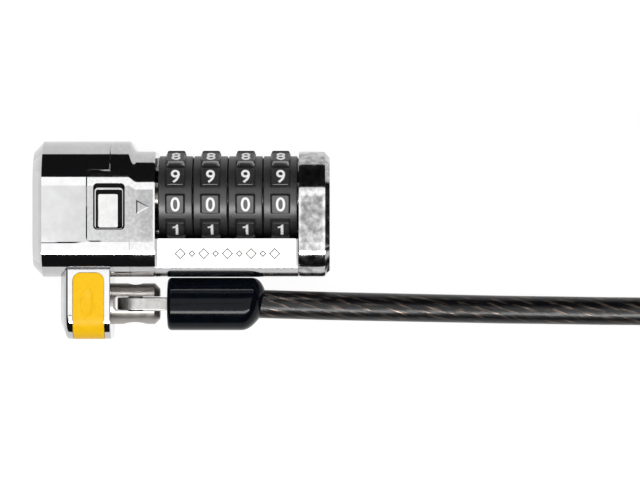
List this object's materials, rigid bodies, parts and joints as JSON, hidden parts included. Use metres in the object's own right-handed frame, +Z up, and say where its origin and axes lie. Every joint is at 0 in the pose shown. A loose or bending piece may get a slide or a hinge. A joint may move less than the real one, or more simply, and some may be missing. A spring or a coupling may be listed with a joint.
{
  "type": "laptop cable lock",
  "caption": "Combination cable lock for a laptop: chrome head with number wheels and push button, swivelling cable clevis, boot and sheathed steel cable ending in a loop.",
  "frame": {"origin": "middle of the lock's own box, without the cable, on the surface it lies on", "axes": "+X along the lock head from the anchor end towards the cap and the cable, +Y across the head from the cable lug towards the wheels' upper edge, +Z up from the back face"},
  "size_m": [0.1998, 0.075, 0.022],
  "materials": {
    "chrome": "bright chrome on a zinc casting",
    "satin_plate": "satin plate",
    "wheel_black": "satin black with white digits",
    "ring_brass": "machined brass",
    "steel": "turned and brushed steel",
    "spring_steel": "spring wire and strip",
    "yellow_plastic": "glossy yellow moulding",
    "boot_black": "glossy black moulding",
    "cable_sheath": "smoky clear sheath over steel strands",
    "tie_black": "woven hook and loop tie"
  },
  "bodies": {
    "housing": {"head_shell": "chrome", "wheel_frame": "chrome", "end_cap": "chrome", "nameplate": "satin_plate", "socket_bush": "steel", "latch_spring": "spring_steel", "spindle_spring": "spring_steel", "detent_spring": "spring_steel", "cap_screws": "steel", "head_pins": "steel", "cable_lug": "chrome", "lug_pin": "steel", "lug_insert": "yellow_plastic"},
    "wheel_1": {"number_wheel_1": "wheel_black", "code_ring_1": "ring_brass"},
    "wheel_2": {"number_wheel_2": "wheel_black", "code_ring_2": "ring_brass"},
    "wheel_3": {"number_wheel_3": "wheel_black", "code_ring_3": "ring_brass"},
    "wheel_4": {"number_wheel_4": "wheel_black", "code_ring_4": "ring_brass"},
    "button": {"push_button": "chrome"},
    "latch": {"latch_plate": "steel"},
    "bolt": {"spindle": "steel"},
    "reset": {"reset_screw": "steel"},
    "swivel": {"swivel_clevis": "steel", "swivel_clip": "spring_steel", "clevis_pin": "steel"},
    "cable_end": {"cable_terminal": "steel", "rope_end": "steel", "cable_boot": "boot_black", "cable_run": "cable_sheath", "cable_coil": "cable_sheath", "coil_tie": "tie_black", "cable_loop": "cable_sheath", "loop_ferrule": "steel"}
  },
  "joints": [
    {"name": "wheel_1_turn", "type": "hinge", "parent": "housing", "child": "wheel_1", "pos_m": [-0.001, 0.0076, 0.0134], "axis": [1, 0, 0], "range_deg": [-324, 0], "deforming": ["detent_spring"]},
    {"name": "wheel_2_turn", "type": "hinge", "parent": "housing", "child": "wheel_2", "pos_m": [0.00513, 0.0076, 0.0134], "axis": [1, 0, 0], "range_deg": [-324, 0], "deforming": ["detent_spring"]},
    {"name": "wheel_3_turn", "type": "hinge", "parent": "housing", "child": "wheel_3", "pos_m": [0.01125, 0.0076, 0.0134], "axis": [1, 0, 0], "range_deg": [-324, 0], "deforming": ["detent_spring"]},
    {"name": "wheel_4_turn", "type": "hinge", "parent": "housing", "child": "wheel_4", "pos_m": [0.01738, 0.0076, 0.0134], "axis": [1, 0, 0], "range_deg": [-324, 0], "deforming": ["detent_spring"]},
    {"name": "button_press", "type": "slide", "parent": "housing", "child": "button", "axis": [0, 0, -1], "range_m": [0, 0.0015], "stiffness_N_per_m": 900, "springref_m": -0.002},
    {"name": "latch_slide", "type": "slide", "parent": "housing", "child": "latch", "axis": [0, 0, -1], "range_m": [0, 0.0015], "deforming": ["latch_spring"]},
    {"name": "spindle_slide", "type": "slide", "parent": "housing", "child": "bolt", "axis": [1, 0, 0], "range_m": [0, 0.0015], "deforming": ["spindle_spring"]},
    {"name": "reset_screw_turn", "type": "hinge", "parent": "housing", "child": "reset", "pos_m": [0.025, 0.0076, 0.0134], "axis": [1, 0, 0], "range_deg": [0, 90]},
    {"name": "swivel_turn", "type": "hinge", "parent": "housing", "child": "swivel", "pos_m": [-0.008, -0.01125, 0.0124], "axis": [1, 0, 0], "range_deg": [0, 180]},
    {"name": "cable_pivot", "type": "hinge", "parent": "swivel", "child": "cable_end", "pos_m": [-0.0083, -0.01125, 0.0124], "axis": [0, -1, 0], "range_deg": [0, 80]}
  ],
  "couplings": [
    {"joint": "latch_slide", "follows": "button_press", "ratio": 1},
    {"joint": "spindle_slide", "follows": "button_press", "ratio": 1}
  ]
}
